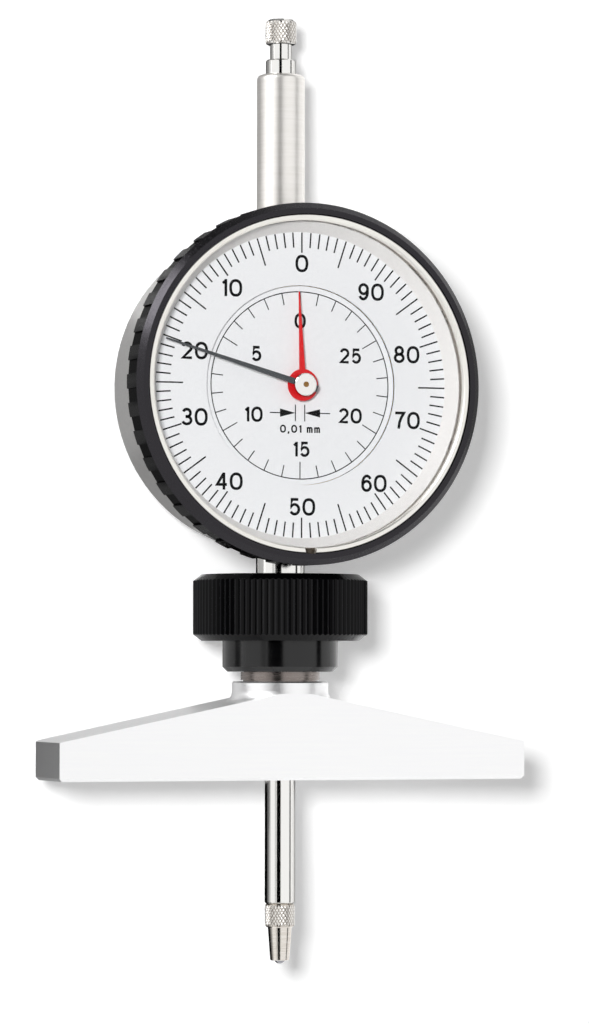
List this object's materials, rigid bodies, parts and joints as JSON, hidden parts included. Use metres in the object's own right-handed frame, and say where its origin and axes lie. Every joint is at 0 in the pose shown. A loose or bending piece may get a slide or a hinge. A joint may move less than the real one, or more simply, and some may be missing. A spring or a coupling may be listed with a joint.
{
  "type": "dial depth gauge",
  "caption": "Dial depth gauge: a round dial indicator with a turning bezel, its stem clamped by a fluted nut in a bridge-shaped measuring base, with a long plunger.",
  "frame": {"origin": "centre of the base's measuring face, on the plunger's axis", "axes": "+Y up the plunger from the measuring face to the lifting knob, +X along the base, +Z out of the dial"},
  "size_m": [0.08, 0.1554, 0.0297],
  "materials": {
    "ground_steel": "ground and lapped, satin",
    "turned_steel": "fine turned, satin chromed",
    "black_anodised": "black anodised, satin",
    "satin_chrome_case": "satin chrome plate on brass",
    "screw_steel": "bright",
    "bronze": "turned bronze",
    "movement_brass": "fine ground brass",
    "spring_steel": "tempered wire",
    "dial_white": "matt light grey lacquer",
    "ring_silver": "bright turned aluminium",
    "crystal": "clear polished",
    "polished_chrome": "mirror polished",
    "carbide": "polished hard metal",
    "arbor_steel": "polished steel",
    "hand_grey": "dark grey lacquer",
    "hand_red": "red lacquer"
  },
  "bodies": {
    "base": {"base_bridge": "ground_steel", "clamp_collet": "turned_steel"},
    "clamp_nut": {"clamp_nut": "black_anodised"},
    "gauge": {"case": "satin_chrome_case", "stem": "turned_steel", "upper_tube": "turned_steel", "back_cover": "satin_chrome_case", "back_screws": "screw_steel", "lower_bush": "bronze", "upper_bush": "bronze", "movement_plate": "movement_brass", "plate_screws": "screw_steel", "rear_cock": "turned_steel", "front_bridge": "movement_brass", "bridge_pillars": "movement_brass", "bridge_screws": "screw_steel", "guide_rail": "turned_steel", "spring_post": "movement_brass", "hairspring": "spring_steel", "hairspring_stud": "movement_brass", "inner_dial": "dial_white", "bezel_wire": "spring_steel", "return_spring": "spring_steel"},
    "bezel": {"bezel": "black_anodised", "crystal": "crystal", "crystal_ring": "ring_silver", "outer_dial": "dial_white", "dial_rim": "ring_silver"},
    "plunger": {"plunger": "polished_chrome", "guide_pin": "polished_chrome", "lifting_knob": "polished_chrome", "contact_point": "polished_chrome", "contact_ball": "carbide"},
    "rack_gear": {"rack_pinion": "arbor_steel", "first_gear": "movement_brass", "counter_pinion": "movement_brass"},
    "main_hand": {"centre_arbor": "arbor_steel", "main_hand": "hand_grey", "hub_cap": "polished_chrome"},
    "takeup": {"takeup_arbor": "arbor_steel", "takeup_gear": "movement_brass"},
    "counter": {"counter_tube": "arbor_steel", "counter_gear": "movement_brass", "counter_hand": "hand_red"}
  },
  "joints": [
    {"name": "clamp_nut_turn", "type": "hinge", "parent": "base", "child": "clamp_nut", "pos_m": [0, 0.025, 0], "axis": [0, 1, 0], "range_deg": [0, 180]},
    {"name": "gauge_swivel", "type": "hinge", "parent": "base", "child": "gauge", "pos_m": [0, 0.02, 0], "axis": [0, 1, 0], "continuous": true},
    {"name": "bezel_turn", "type": "hinge", "parent": "gauge", "child": "bezel", "pos_m": [0, 0.0642, 0.012], "axis": [0, 0, 1], "continuous": true},
    {"name": "plunger_slide", "type": "slide", "parent": "gauge", "child": "plunger", "axis": [0, 1, 0], "range_m": [0, 0.0302], "stiffness_N_per_m": 20, "springref_m": -0.03, "deforming": ["return_spring"]},
    {"name": "main_hand_turn", "type": "hinge", "parent": "gauge", "child": "main_hand", "pos_m": [0, 0.0642, 0.006], "axis": [0, 0, 1], "continuous": true},
    {"name": "counter_hand_turn", "type": "hinge", "parent": "gauge", "child": "counter", "pos_m": [0, 0.0642, 0.006], "axis": [0, 0, 1], "continuous": true},
    {"name": "rack_gear_turn", "type": "hinge", "parent": "gauge", "child": "rack_gear", "pos_m": [-0.00349, 0.05377, 0.006], "axis": [0, 0, 1], "continuous": true},
    {"name": "takeup_turn", "type": "hinge", "parent": "gauge", "child": "takeup", "pos_m": [0.00349, 0.07463, 0.006], "axis": [0, 0, 1], "continuous": true}
  ],
  "couplings": [
    {"joint": "main_hand_turn", "follows": "plunger_slide", "rad_per_m": -6283.2},
    {"joint": "counter_hand_turn", "follows": "plunger_slide", "rad_per_m": -209.44},
    {"joint": "rack_gear_turn", "follows": "plunger_slide", "rad_per_m": 628.32},
    {"joint": "takeup_turn", "follows": "plunger_slide", "rad_per_m": 628.32}
  ]
}
